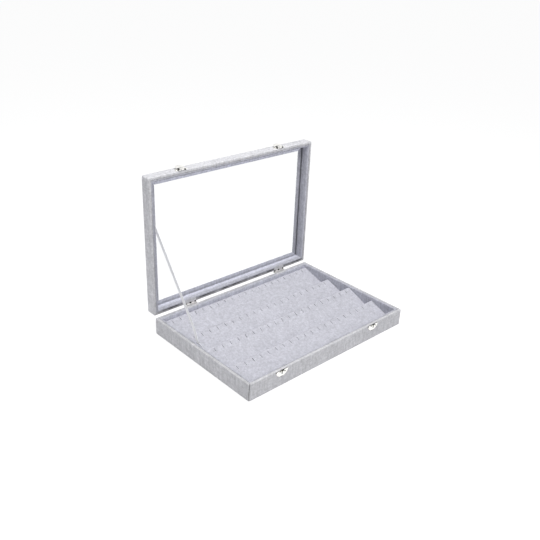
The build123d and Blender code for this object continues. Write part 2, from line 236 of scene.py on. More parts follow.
class CaseFinish(bpy.types.PropertyGroup):
    outer_colour: FloatVectorProperty(
        name="Outer velvet", description="Colour of the velvet outside",
        default=(0.60, 0.598, 0.618), subtype="COLOR", min=0, max=1)
    lining_colour: FloatVectorProperty(
        name="Lining velvet", description="Colour of the velvet on the inner walls and beads",
        default=(0.48, 0.485, 0.54), subtype="COLOR", min=0, max=1)
    insert_colour: FloatVectorProperty(
        name="Insert velvet", description="Colour of the velvet on the sloping tiers",
        default=(0.54, 0.54, 0.592), subtype="COLOR", min=0, max=1)
    ribbon_colour: FloatVectorProperty(
        name="Ribbon", description="Colour of the satin lid stay",
        default=(0.88, 0.88, 0.91), subtype="COLOR", min=0, max=1)
    bright_nickel: FloatVectorProperty(
        name="Bright nickel", description="Colour of the latches and catches",
        default=(0.97, 0.96, 0.93), subtype="COLOR", min=0, max=1)
    dull_nickel: FloatVectorProperty(
        name="Dull nickel", description="Colour of the hinges",
        default=(0.72, 0.71, 0.71), subtype="COLOR", min=0, max=1)
    seam_wander: FloatProperty(
        name="Seam wander", description="How far the hand-laid rim seam strays from a straight line",
        default=0.00028, min=0, max=0.001, unit="LENGTH", precision=5)
    cloth_ripple: FloatProperty(
        name="Cloth ripple", description="How far the glued velvet rises and falls",
        default=0.00009, min=0, max=0.001, unit="LENGTH", precision=5)


class InsertSizes(bpy.types.PropertyGroup):
    slit_count: IntProperty(
        name="Slits", description="Slits in each tier", default=20, min=1, max=60)
    slit_pitch: FloatProperty(
        name="Pitch", description="Distance from slit to slit",
        default=0.016, min=0.002, max=0.1, unit="LENGTH")
    slit_length: FloatProperty(
        name="Slit length", description="Length of a slit down the slope",
        default=0.0065, min=0.001, max=0.03, unit="LENGTH")
    slit_width: FloatProperty(
        name="Slit width", description="Width of the mouth of a slit",
        default=0.0009, min=0.0002, max=0.005, unit="LENGTH", precision=5)
    slit_setback: FloatProperty(
        name="Slit setback", description="Distance from a tier's back to its slits",
        default=0.0045, min=0.001, max=0.03, unit="LENGTH")


class RibbonSizes(bpy.types.PropertyGroup):
    width: FloatProperty(
        name="Width", description="Width of the ribbon",
        default=0.007, min=0.001, max=0.03, unit="LENGTH")
    thickness: FloatProperty(
        name="Thickness", description="Thickness of the ribbon",
        default=0.0003, min=0.0001, max=0.002, unit="LENGTH", precision=5)


class StudioSettings(bpy.types.PropertyGroup):
    key_power: FloatProperty(
        name="Key light", description="Power of the large light overhead",
        default=14, min=0, max=500, unit="POWER")
    fill_power: FloatProperty(
        name="Fill light", description="Power of the light from the front",
        default=4.5, min=0, max=500, unit="POWER")
    world_strength: FloatProperty(
        name="Sky", description="Strength of the surrounding light", default=0.32, min=0, max=2)


# Meshes

def linked(name, data):
    """A new object of the given data, in the scene."""
    obj = bpy.data.objects.new(name, data)
    bpy.context.scene.collection.objects.link(obj)
    return obj


def finished(obj, material, body, replaces, crease_angle=40):
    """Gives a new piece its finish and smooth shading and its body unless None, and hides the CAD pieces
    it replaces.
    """
    mesh = obj.data
    mesh.materials.clear()
    mesh.materials.append(material)
    mesh.shade_smooth()
    mesh.set_sharp_from_angle(angle=math.radians(crease_angle))
    if body:
        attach(obj, body)
    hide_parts(*replaces)


def finish_cad(material, *names):
    """Gives the CAD pieces that keep their shape their finish."""
    for name in names:
        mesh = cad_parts[name].data
        mesh.materials.clear()
        mesh.materials.append(material)


def mesh_object(name, points, faces, painted_tones=None):
    """An object of the given points, with its faces turned outwards."""
    mesh = bpy.data.meshes.new(name)
    mesh.from_pydata(points, [], faces)
    work = bmesh.new()
    work.from_mesh(mesh)
    bmesh.ops.recalc_face_normals(work, faces=work.faces)
    work.to_mesh(mesh)
    work.free()
    # The painted light and shade of each point, which the velvet's colour reads
    if painted_tones is not None:
        layer = mesh.attributes.new("painted_light_and_shade", "FLOAT", "POINT")
        layer.data.foreach_set("value", painted_tones)
    return linked(name, mesh)


def tube_faces(rows, size, closed=False):
    """Faces between rows of so many points, from the last row to the first if closed, else capped."""
    last = (rows - 1) * size
    faces = [] if closed else [tuple(range(size)), tuple(range(last, last + size))]
    for i in range(rows if closed else rows - 1):
        below = (i + 1) % rows
        for j in range(size):
            after = (j + 1) % size
            faces.append((i * size + j, i * size + after, below * size + after, below * size + j))
    return faces


def middle_x(node):
    """The middle of a CAD piece from left to right."""
    return sum(corner.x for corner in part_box(node)) / 2


def round_corners(corners, degrees=CORNER_DEGREES):
    """Turns (inset, height, radius) corners into a closed line with round corners."""
    line = []
    count = len(corners)
    for i, (x, y, radius) in enumerate(corners):
        here = Vector((x, y))
        to_last = (Vector(corners[i - 1][:2]) - here).normalized()
        to_next = (Vector(corners[(i + 1) % count][:2]) - here).normalized()
        if radius <= 0:
            line.append(here)
            continue
        half = to_last.angle(to_next) / 2
        centre = here + (to_last + to_next).normalized() * radius / math.sin(half)
        first = here + to_last * radius / math.tan(half) - centre
        last = here + to_next * radius / math.tan(half) - centre
        turn = math.atan2(first.cross(last), first.dot(last))
        steps = max(2, round(abs(math.degrees(turn)) / degrees))
        for k in range(steps + 1):
            line.append(centre + Matrix.Rotation(turn * k / steps, 2) @ first)
    return line


def divide(line, step):
    """Adds points to a closed line, so that none is further than the step from the next."""
    full = []
    for here, there in zip(line, line[1:] + line[:1]):
        parts = max(1, math.ceil((there - here).length / step))
        full += [here.lerp(there, k / parts) for k in range(parts)]
    return full


def smooth(line, parts):
    """A curve through the points of a line, in so many parts from point to point."""
    curve = []
    for i in range(len(line) - 1):
        before, here = line[max(i - 1, 0)], line[i]
        there, after = line[i + 1], line[min(i + 2, len(line) - 1)]
        for k in range(parts):
            t = k / parts
            bend = (2 * before - 5 * here + 4 * there - after) * t * t
            turn = (3 * here - before - 3 * there + after) * t * t * t
            curve.append(here + ((there - before) * t + bend + turn) / 2)
    curve.append(line[-1])
    return curve


def rim_path(inset, radius):
    """Points round the case's outline, drawn in by the inset, with the same count for any inset."""
    half_x = HALF_LENGTH - inset
    half_y = HALF_DEPTH - inset
    turn = max(radius - inset, LEAST_TURN)
    path = []
    corners = [(1, -1, -90), (1, 1, 0), (-1, 1, 90), (-1, -1, 180)]
    for i, (sign_x, sign_y, start) in enumerate(corners):
        centre = Vector((sign_x * (half_x - turn), sign_y * (half_y - turn)))
        for k in range(CORNER_STEPS + 1):
            angle = math.radians(start + 90 * k / CORNER_STEPS)
            path.append(centre + turn * Vector((math.cos(angle), math.sin(angle))))
        next_x, next_y = corners[(i + 1) % 4][:2]
        following = Vector((next_x * (half_x - turn), next_y * (half_y - turn)))
        leave = math.radians(start + 90)
        offset = turn * Vector((math.cos(leave), math.sin(leave)))
        length = 2 * (HALF_DEPTH if i % 2 == 0 else HALF_LENGTH)
        parts = round(length / LONG_STEP)
        for k in range(1, parts):
            path.append((centre + offset).lerp(following + offset, k / parts))
    return path


def base_place(x, y, height):
    return Vector((x, y, height))


def lid_place(x, y, height):
    """From the lid as it lies closed, rim down at height 0, to where it stands open."""
    return Vector((x, LID_RIM + height, LID_MIDDLE - y))


def wander(place, scale, amount, seed):
    """A smooth stray of up to about the amount, the same on each run."""
    return amount * noise.noise(Vector(place) / scale + Vector((seed, 7.3 * seed, -3.1 * seed)))


def clamped(value):
    return min(max(value, 0), 1)


def hinge_press(x, y, inset, places):
    """How far a hinge leaf presses the rim's velvet down at a point of the back rim."""
    if y < 0 or inset > LEAF_REACH + LEAF_SOFTNESS:
        return 0
    beyond = min(abs(x - place) for place in places) - LEAF_HALF
    along = 1 - clamped(beyond / LEAF_SOFTNESS)
    across = 1 - clamped((inset - LEAF_REACH) / LEAF_SOFTNESS)
    return LEAF_PRESS * (along * across)


def inward_at(x, y, inset):
    """The way in from a point of the outline: square to a side, and to the middle at a corner."""
    if abs(abs(x) - (HALF_LENGTH - inset)) < TOUCHING:
        return Vector((-math.copysign(1, x), 0))
    if abs(abs(y) - (HALF_DEPTH - inset)) < TOUCHING:
        return Vector((0, -math.copysign(1, y)))
    return Vector((-x, -y)).normalized()


# Each body's way to place a point, the height of its rim, which way that faces, and the painted shade of
# its rim's seam on each side
RIMS = {"base": (base_place, BASE_TOP, 1, BASE_SEAM_SHADE), "lid": (lid_place, 0, -1, LID_SEAM_SHADE)}


def ring(name, corners, body, seed, painted_light, corner_radius=CORNER_RADIUS, folds=()):
    """A closed velvet skin that runs round the base or the lid, from the corners of its section.

    The given function gives each side's painted light and shade, the seam gets painted shade, and folds
    are the corners of the outline where the velvet's ends meet in an upright seam, dented and with painted
    shade.
    """
    place, rim_height, up, seam_shades = RIMS[body]
    finish = bpy.context.scene.case_finish
    ripple = finish.cloth_ripple
    stray = finish.seam_wander
    line = divide(round_corners(corners), SECTION_STEP)
    hinge_places = [middle_x(f"hinge_{hand}_base_leaf") for hand in HANDS]
    points = []
    painted_tones = []
    for inset, height in line:
        path = rim_path(inset, corner_radius)
        on_rim = abs(height - rim_height) < RIM_BAND and inset > RIM_START
        from_seam = abs(inset - SEAM - SEAM_GAP / 2)
        for x, y in path:
            shift = wander((x, y, 0), WALL_SPAN, ripple, seed + height * 40)
            drop = 0
            side = side_of(x, y)
            # The painted light and shade of this side of the skin
            shade = painted_light(side, inset, height)
            if on_rim:
                drop = wander((x, y, inset * 3), RIM_SPAN, ripple, seed + RIM_SEED)
                drop -= hinge_press(x, y, inset, hinge_places)
                if from_seam < SEAM_LIP:
                    shift = wander((x, y, 0), STRAY_SPAN, stray, STRAY_SEED)
                    shift += wander((x, y, 0), FINE_STRAY_SPAN, stray * 0.5, FINE_STRAY_SEED)
                # Painted shade in and beside the seam's gap, stronger or weaker on each side and uneven
                # along it
                bed = 1 - from_seam / SHADE_REACH
                if bed > 0:
                    uneven = 1 + wander((x, y, 0), SHADE_SPAN, SHADE_SPREAD, SHADE_SEED)
                    shade += bed * seam_shades[side] * uneven
            for fold_x, fold_y in folds:
                fold = fold_share(x, y, height, fold_x, fold_y, corner_radius)
                shift += fold * FOLD_DEPTH
                # Painted shade in the fold of the upright seam
                shade = max(shade, fold)
            spot = Vector((x, y)) + inward_at(x, y, inset) * shift
            points.append(place(spot.x, spot.y, height + up * drop))
            painted_tones.append(shade)
    faces = tube_faces(len(line), len(points) // len(line), closed=True)
    return mesh_object(name, points, faces, painted_tones)


# Painted light and shade on each skin, darker where positive and lighter where negative, by the side, the
# inset and the height or depth

def base_cover_nap(side, inset, height):
    return 0.12 if side == "left" and height > BASE_TOP - ON_FACE else 0


def lid_cover_nap(side, inset, depth):
    if side == "left" and inset < ON_FACE:
        return -0.22
    if depth > EDGE_RADIUS:
        return 0
    return {"right": 0.08, "back": 0.27}.get(side, 0)


def base_lining_nap(side, inset, height):
    if side != "back":
        return 0
    return -0.38 if inset > WALL - ON_FACE and height > BASE_TOP - 10 * MM else -0.08


def lid_lining_nap(side, inset, depth):
    if side == "back":
        return -0.63 * clamped((depth - 4 * MM) / (6 * MM))
    if side == "right":
        return -0.14 if depth < ON_FACE else 0.02
    on_rounding = depth < INNER_RADIUS and inset > WALL - 2 * MM
    return {"left": 0.35, "front": 0.2}[side] if on_rounding else 0


def side_of(x, y):
    """The side of the case's outline that a point lies on."""
    if HALF_LENGTH - abs(x) > HALF_DEPTH - abs(y):
        return "front" if y < 0 else "back"
    return "left" if x < 0 else "right"


def fold_share(x, y, height, fold_x, fold_y, radius):
    """1 in the middle of an upright seam at a corner of the outline, 0 away from it."""
    beside_x = HALF_LENGTH - abs(x)
    beside_y = HALF_DEPTH - abs(y)
    if x * fold_x < 0 or y * fold_y < 0 or max(beside_x, beside_y) > radius * FOLD_REACH:
        return 0
    lean = FOLD_LEAN * math.sin(height / BASE_TOP * math.pi * FOLD_BENDS)
    off = abs(beside_x - beside_y + lean) / FOLD_HALF
    return max(0, 1 - off * off)


def side_strip(name, side, corners, seed, painted_light, groove_shade):
    """A strip along one side of the lid, mitred to its neighbours and pinched a little at both ends.

    Its velvet takes the given painted light and shade, and more painted shade in the groove near the wall.
    """
    finish = bpy.context.scene.case_finish
    line = divide(round_corners(corners, BEAD_DEGREES), BEAD_STEP)
    middle = sum(line, Vector((0, 0))) / len(line)
    lengthwise = side in ("front", "back")
    sign = 1 if side in ("back", "right") else -1
    reach = HALF_LENGTH if lengthwise else HALF_DEPTH
    across = HALF_DEPTH if lengthwise else HALF_LENGTH
    parts = round(2 * reach / LONG_STEP)
    stations = [*BEAD_ENDS, *(k / parts for k in range(2, parts - 1)), *(1 - k for k in BEAD_ENDS[::-1])]
    points = []
    painted_tones = []
    for share in stations:
        from_end = min(share, 1 - share) * 2 * reach
        draw = PINCH * math.exp(-from_end / PINCH_REACH)
        for inset, height in line:
            section = Vector((inset, height)).lerp(middle, draw)
            across_strip = (section.x - WALL) / (BEAD_INSETS[side] - WALL)
            ends = [WALL + across_strip * (BEAD_INSETS[end] - WALL) for end in ENDS[side]]
            run = (ends[0] - reach) * (1 - share) + (reach - ends[1]) * share
            out = sign * (across - section.x)
            x, y = (run, out) if lengthwise else (out, run)
            rise = wander((x, y, height), BEAD_SPAN, finish.cloth_ripple * BEAD_RIPPLE, seed)
            points.append(lid_place(x, y, section.y + rise))
            # Painted shade in the groove by the wall, on top of the strip's painted light
            groove = (inset - WALL - GROOVE_INSET) / GROOVE_HALF
            painted_tones.append(painted_light + groove_shade * math.exp(-groove * groove))
    return mesh_object(name, points, tube_faces(len(stations), len(line)), painted_tones)


# Nodes

def feed(tree, node, inputs):
    """Links or sets a node's inputs, given by name or number as sockets, numbers or colours."""
    for key, value in inputs.items():
        socket = node.inputs[key]
        if isinstance(value, bpy.types.NodeSocket):
            tree.links.new(value, socket)
        elif socket.type == "RGBA":
            socket.default_value = (*value, 1)
        else:
            socket.default_value = value


def add_node(tree, kind, inputs=None, **settings):
    """A new node with its settings and its inputs."""
    node = tree.nodes.new(kind)
    for key, value in settings.items():
        setattr(node, key, value)
    feed(tree, node, inputs or {})
    return node


def made(tree, kind, inputs=None, **settings):
    """The first output of a new node."""
    return add_node(tree, kind, inputs, **settings).outputs[0]


def maths(tree, operation, *values):
    """The result of a Math node on sockets and numbers."""
    return made(tree, "ShaderNodeMath", dict(enumerate(values)), operation=operation)


def gathered(tree, operation, sockets):
    """Sockets joined into one by an operation."""
    total = sockets[0]
    for socket in sockets[1:]:
        total = maths(tree, operation, total, socket)
    return total


# Geometry node trees

def new_tree(name, inputs):
    """A geometry node tree with a geometry input and the named inputs, its inputs and its output node."""
    tree = bpy.data.node_groups.new(name, "GeometryNodeTree")
    for label, kind in [("Geometry", "Geometry"), *inputs]:
        tree.interface.new_socket(label, in_out="INPUT", socket_type=f"NodeSocket{kind}")
    tree.interface.new_socket("Geometry", in_out="OUTPUT", socket_type="NodeSocketGeometry")
    given = add_node(tree, "NodeGroupInput").outputs
    return tree, given, add_node(tree, "NodeGroupOutput")


def real_copies(tree, points, instance, inputs=None):
    """Copies of a mesh on points, made real."""
    copies = made(tree, "GeometryNodeInstanceOnPoints", {
        "Points": points, "Instance": instance, **(inputs or {})})
    return made(tree, "GeometryNodeRealizeInstances", {"Geometry": copies})


def cut_away(tree, body, cutter):
    """A body less what the cutter covers."""
    return made(
        tree, "GeometryNodeMeshBoolean", {"Mesh 1": body, "Mesh 2": cutter},
        operation="DIFFERENCE", solver="EXACT")


def close_tree(tree, leave, geometry, material):
    """Ends a tree in the material of its result."""
    painted = made(tree, "GeometryNodeSetMaterial", {"Geometry": geometry, "Material": material})
    feed(tree, leave, {"Geometry": painted})
    return tree


def run_tree(obj, tree, values):
    """Runs a tree on an object with the named values, and keeps the result as its plain mesh."""
    modifier = obj.modifiers.new(tree.name, "NODES")
    modifier.node_group = tree
    for item in tree.interface.items_tree:
        if item.in_out == "INPUT" and item.name in values:
            modifier[item.identifier] = values[item.name]
    bpy.context.view_layer.update()
    depsgraph = bpy.context.evaluated_depsgraph_get()
    mesh = bpy.data.meshes.new_from_object(obj.evaluated_get(depsgraph))
    obj.modifiers.remove(modifier)
    obj.data = mesh


def slit_tree():
    """Cuts an evenly spaced row of slits into a panel."""
    tree, given, leave = new_tree("Slit Row", [
        ("Count", "Int"), ("Pitch", "Float"), ("First", "Vector"), ("Slit Size", "Vector"),
        ("Material", "Material")])
    step = made(tree, "ShaderNodeCombineXYZ", {"X": given["Pitch"]})
    row = made(tree, "GeometryNodeMeshLine", {
        "Count": given["Count"], "Start Location": given["First"], "Offset": step}, mode="OFFSET")
    cutters = real_copies(tree, row, made(tree, "GeometryNodeMeshCube", {"Size": given["Slit Size"]}))
    return close_tree(tree, leave, cut_away(tree, given["Geometry"], cutters), given["Material"])


def stud_tree():
    """Sets a round head, slotted or plain, with a shank on each point, along the given turn."""
    tree, given, leave = new_tree("Studs", [
        ("Head Radius", "Float"), ("Head Height", "Float"), ("Shank Radius", "Float"),
        ("Shank Length", "Float"), ("Turn", "Rotation"), ("Slot", "Vector"), ("Material", "Material")])

    def moved(kind, inputs, change, height, width=0):
        vector = made(tree, "ShaderNodeCombineXYZ", {"X": width, "Y": width, "Z": height})
        shape = made(tree, kind, inputs)
        return made(tree, "GeometryNodeTransform", {"Geometry": shape, change: vector})

    flatness = maths(tree, "DIVIDE", given["Head Height"], given["Head Radius"])
    head = moved("GeometryNodeMeshUVSphere", {
        "Segments": 20, "Rings": 10, "Radius": given["Head Radius"]}, "Scale", flatness, 1)
    slot = moved("GeometryNodeMeshCube", {"Size": given["Slot"]}, "Translation", given["Head Height"])
    sunk = maths(tree, "MULTIPLY", given["Shank Length"], -0.5)
    shank = moved("GeometryNodeMeshCylinder", {
        "Vertices": 16, "Radius": given["Shank Radius"], "Depth": given["Shank Length"]},
        "Translation", sunk)
    both = add_node(tree, "GeometryNodeJoinGeometry", {"Geometry": cut_away(tree, head, slot)})
    feed(tree, both, {"Geometry": shank})
    studs = real_copies(tree, given["Geometry"], both.outputs["Geometry"], {"Rotation": given["Turn"]})
    return close_tree(tree, leave, studs, given["Material"])


# Materials

materials = {}


def new_material(name):
    """A material, its node tree and its shader."""
    material = bpy.data.materials.new(name)
    material.use_nodes = True
    tree = material.node_tree
    return material, tree, tree.nodes["Principled BSDF"]


def own_place(tree):
    """The piece's own coordinates."""
    return add_node(tree, "ShaderNodeTexCoord").outputs["Object"]


def object_noise(tree, scale, detail, roughness, stretch=(1, 1, 1)):
    """A noise texture on the piece's own coordinates."""
    mapping = made(tree, "ShaderNodeMapping", {"Vector": own_place(tree), "Scale": stretch})
    return made(tree, "ShaderNodeTexNoise", {
        "Vector": mapping, "Scale": scale, "Detail": detail, "Roughness": roughness})


def ramp(tree, source, stops):
    """The colour that a ramp of (position, colour) stops gives for a socket."""
    node = add_node(tree, "ShaderNodeValToRGB", {"Fac": source})
    elements = node.color_ramp.elements
    while len(elements) < len(stops):
        elements.new(0.5)
    for element, (position, colour) in zip(elements, stops):
        element.position = position
        element.color = (*colour, 1)
    return node.outputs["Color"]


def toned(colour, amount):
    return tuple(min(1, c * amount) for c in colour)


def evened(tree, source, amount):
    """A noise value spread evenly about 1, to the amount above and below."""
    return made(tree, "ShaderNodeMapRange", {
        "Value": source, "From Min": NOISE_LOW, "From Max": NOISE_HIGH, "To Min": 1 - amount,
        "To Max": 1 + amount})


def mixed(tree, mode, factor, first, second):
    """A colour mix of two sockets, or of a socket and a colour."""
    return add_node(
        tree, "ShaderNodeMix", {0: factor, 6: first, 7: second},
        data_type="RGBA", blend_type=mode).outputs[2]


def show_either(tree, factor, first, second, output="Material Output"):
    """Shows the second shader where the factor is 1, and the first where it is 0."""
    blend = made(tree, "ShaderNodeMixShader", {"Fac": factor, 1: first, 2: second})
    feed(tree, tree.nodes[output], {"Surface": blend})


def ray_is(tree, *kinds):
    """1 for rays of the named kinds, 0 for others."""
    paths = add_node(tree, "ShaderNodeLightPath").outputs
    return gathered(tree, "MAXIMUM", [paths[f"Is {kind} Ray"] for kind in kinds])


def relief(tree, shader, heights, distance):
    """Bump on a shader from the sum of (socket, share) heights."""
    total = gathered(tree, "ADD", [maths(tree, "MULTIPLY", socket, share) for socket, share in heights])
    bump = made(tree, "ShaderNodeBump", {
        "Strength": BUMP_STRENGTH, "Distance": distance, "Height": total})
    feed(tree, shader, {"Normal": bump})


def velvet_material(name, colour, mottle=0.13):
    """Short-pile velvet: flecks and streaks of brushed pile, broad patches, relief, sheen, and painted
    light and shade from the piece's own attribute.
    """
    material, tree, shader = new_material(name)
    pile = object_noise(tree, *PILE)
    flecks = object_noise(tree, *FLECKS)
    streaks = object_noise(tree, *STREAKS)
    upright = object_noise(tree, *UPRIGHT)
    patches = object_noise(tree, *PATCHES)
    body = ramp(tree, flecks, [
        (0.30, toned(colour, 1 - mottle)), (0.50, colour), (0.70, toned(colour, 1 + mottle))])
    for texture, amount in ((streaks, 0.05), (upright, 0.08), (patches, 0.03), (pile, 0.09)):
        body = mixed(tree, "MULTIPLY", 1.0, body, evened(tree, texture, amount))
    # Painted light and shade: each point's value darkens the colour, or lightens it where negative
    painted_attribute = add_node(tree, "ShaderNodeAttribute", attribute_name="painted_light_and_shade")
    painted_factor = maths(tree, "MULTIPLY_ADD", painted_attribute.outputs["Fac"], -PAINTED_SHADE_STRENGTH, 1)
    feed(tree, shader, {
        "Base Color": mixed(tree, "MULTIPLY", 1.0, body, painted_factor), "Roughness": 0.95,
        "Specular IOR Level": 0.15, "Sheen Weight": 0.35, "Sheen Roughness": 0.45,
        "Sheen Tint": (0.9, 0.9, 1.0)})
    relief(tree, shader, [(pile, 0.5), (flecks, 1.0)], 0.3 * MM)
    return material


def hollow_mask(tree, shaded_boxes, fitting="catch_{}"):
    """1 inside any of the boxes of painted shade round a fitting's middle, each given as its low and high
    corner.
    """
    left, right = [middle_x(fitting.format(hand)) for hand in HANDS]
    half = (right - left) / 2
    axes = add_node(tree, "ShaderNodeSeparateXYZ", {"Vector": own_place(tree)}).outputs
    sources = (maths(tree, "WRAP", axes["X"], left + half, left - half), axes["Y"], axes["Z"])
    insides = []
    for low, high in shaded_boxes:
        insides.append(gathered(tree, "MINIMUM", [
            maths(tree, "COMPARE", source, start + (near + far) / 2, (far - near) / 2)
            for source, start, near, far in zip(sources, (left, 0, 0), low, high)]))
    return gathered(tree, "MAXIMUM", insides)


def clouded_plate(tree, colour, wear):
    """The colour of worn plating, and the clouds it comes from."""
    clouds = object_noise(tree, *CLOUDS)
    return ramp(tree, clouds, [(0.35, toned(colour, 1 - wear)), (0.65, colour)]), clouds


def nickel_material(name, colour, shaded_boxes=(), roughness=0.16, wear=0.12):
    """Plated sheet metal with fine brushing, duller where it is handled, with painted shade and dark
    reflections in its hollows.
    """
    material, tree, shader = new_material(name)
    body, clouds = clouded_plate(tree, colour, wear)
    # Painted shade and dark reflections in the given boxes
    if shaded_boxes:
        body = mixed(tree, "MIX", hollow_mask(tree, shaded_boxes), body, PAINTED_DARK)
    dull = made(tree, "ShaderNodeMapRange", {
        "Value": clouds, "To Min": roughness * BRIGHTEST, "To Max": roughness * DULLEST})
    feed(tree, shader, {"Base Color": body, "Roughness": dull, "Metallic": 1})
    brushing = object_noise(tree, *BRUSHING)
    relief(tree, shader, [(brushing, 0.4), (clouds, 0.4)], 0.02 * MM)
    return material


def hinge_material(name, metal, cloth):
    """Dull plate near the pin, with painted shade in the gaps between the knuckles, and velvet lapped over
    the rest.
    """
    material = velvet_material(name, cloth)
    tree = material.node_tree
    velvet = tree.nodes["Principled BSDF"]
    body = clouded_plate(tree, metal, HINGE_WEAR)[0]
    # Painted shade in the gaps between the knuckles
    gaps = hollow_mask(tree, knuckle_gaps(), "hinge_{}_pin")
    plate = made(tree, "ShaderNodeBsdfPrincipled", {
        "Base Color": mixed(tree, "MIX", gaps, body, PAINTED_DARK), "Roughness": HINGE_ROUGHNESS,
        "Metallic": 1})
    section = made(tree, "ShaderNodeVectorMath", {0: own_place(tree), 1: (0, 1, 1)}, operation="MULTIPLY")
    away = add_node(
        tree, "ShaderNodeVectorMath", {0: section, 1: (0, AXIS_Y, AXIS_Z)}, operation="DISTANCE")
    lapped = maths(tree, "GREATER_THAN", away.outputs["Value"], LAP)
    show_either(tree, lapped, plate, velvet.outputs["BSDF"])
    return material


def satin_material(name, colour):
    """Ribbon satin: fine threads across the width under a soft gloss."""
    material, tree, shader = new_material(name)
    layer = made(tree, "ShaderNodeUVMap", uv_map="ribbon")
    wave = add_node(
        tree, "ShaderNodeTexWave", {"Vector": layer, "Scale": 900, "Distortion": 1.5}, bands_direction="Y")
    threads = wave.outputs["Fac"]
    tone = ramp(tree, threads, [(0.2, toned(colour, 0.92)), (0.8, toned(colour, 1.05))])
    feed(tree, shader, {"Base Color": tone, "Roughness": 0.38, "Anisotropic": 0.4, "Sheen Weight": 0.15})
    relief(tree, shader, [(threads, 1.0)], 0.02 * MM)
    return material


def glass_material(name):
    """Thin clear float glass, which lets light through to what lies behind it."""
    material, tree, shader = new_material(name)
    relief(tree, shader, [(object_noise(tree, *GLASS_DRAW), 1.0)], 0.01 * MM)
    feed(tree, shader, {
        "Base Color": (0.992, 1, 0.997), "Roughness": 0.01, "IOR": 1.45, "Specular IOR Level": 0.12,
        "Transmission Weight": 1})
    clear = made(tree, "ShaderNodeBsdfTransparent")
    show_either(tree, ray_is(tree, "Shadow", "Diffuse"), shader.outputs["BSDF"], clear)
    return material


def fibre_material(name, fibres, dark, light, distance, inputs):
    """Tangled fibres between a dark and a light colour, of the grain that a noise is given."""
    material, tree, shader = new_material(name)
    grain = object_noise(tree, *fibres)
    feed(tree, shader, {"Base Color": ramp(tree, grain, [(0.3, dark), (0.7, light)]), **inputs})
    relief(tree, shader, [(grain, 1.0)], distance)
    return material


def knuckle_gaps():
    """Boxes of painted shade at the ends of the barrel and in the gap at its middle."""
    half = (pin_high.x - pin_low.x) / 2
    gaps = [(-half - 1 * MM, -half + 3.6 * MM), (-2.1 * MM, 1.9 * MM), (half - 3.4 * MM, half + 1 * MM)]
    far_y = pin_high.y + 3 * MM
    far_z = pin_high.z + 3 * MM
    return [((start, pin_low.y, pin_low.z), (end, far_y, far_z)) for start, end in gaps]


def catch_hollows():
    """Boxes of painted shade and dark reflections: the cut top edge, the side of the hook, the slot beside
    it, the plate's corner and lower edge.
    """
    low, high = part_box("catch_left")
    top = high.z
    front = low.y
    plate = high.y - 1 * MM
    return [
        ((-13 * MM, front, top - 1.3 * MM), (13 * MM, high.y, top + 1 * MM)),
        ((-3.1 * MM, front, top - 6 * MM), (-1.2 * MM, plate, top)),
        ((3.4 * MM, front, top - 5.3 * MM), (7.6 * MM, high.y, top - 3.7 * MM)),
        ((-13 * MM, front, top - 3.6 * MM), (-11 * MM, high.y, top)),
        ((-5 * MM, front, low.z - 1 * MM), (4 * MM, high.y, low.z + 0.6 * MM))]


def flap_hollows():
    """Boxes of painted shade and dark reflections: the hollow beside the knuckles, the gaps between them
    and the cut edge of the tip.
    """
    low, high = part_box("latch_left_flap")
    latch_low, latch_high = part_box("latch_left_pin")
    axis = (latch_low.y + latch_high.y) / 2
    return [
        ((-8.4 * MM, axis - 0.6 * MM, low.z), (-2.8 * MM, axis + 6.2 * MM, high.z)),
        ((-3 * MM, axis - 2 * MM, low.z), (0.2 * MM, axis + 2 * MM, high.z)),
        ((2 * MM, axis - 2 * MM, low.z), (5.2 * MM, axis + 2 * MM, high.z)),
        ((-8 * MM, high.y - 2.2 * MM, low.z), (8 * MM, high.y, high.z))]


def make_materials():
    """Makes the finishes in the colours of the sidebar."""
    finish = bpy.context.scene.case_finish
    outer = tuple(finish.outer_colour)
    bright = tuple(finish.bright_nickel)
    materials["outer"] = velvet_material("outer_velvet", outer)
    materials["lining"] = velvet_material("lining_velvet", tuple(finish.lining_colour))
    materials["insert"] = velvet_material("insert_velvet", tuple(finish.insert_colour), 0.07)
    materials["bright"] = nickel_material("bright_nickel", bright)
    materials["catch"] = nickel_material("catch_nickel", bright, catch_hollows())
    materials["flap"] = nickel_material("flap_nickel", bright, flap_hollows())
    materials["hinge"] = hinge_material("lapped_hinge", tuple(finish.dull_nickel), outer)
    materials["satin"] = satin_material("white_satin", tuple(finish.ribbon_colour))
    materials["glass"] = glass_material("clear_glass")
    materials["board"] = fibre_material(
        "fibreboard", BOARD_FIBRES, (0.30, 0.21, 0.13), (0.46, 0.35, 0.24), 0.1 * MM,
        {"Roughness": 0.85})
    materials["felt"] = fibre_material(
        "pressed_felt", FELT_FIBRES, (0.20, 0.20, 0.215), (0.33, 0.33, 0.35), 0.2 * MM,
        {"Roughness": 1, "Sheen Weight": 0.2})


# Operators, one for each piece or group of like pieces

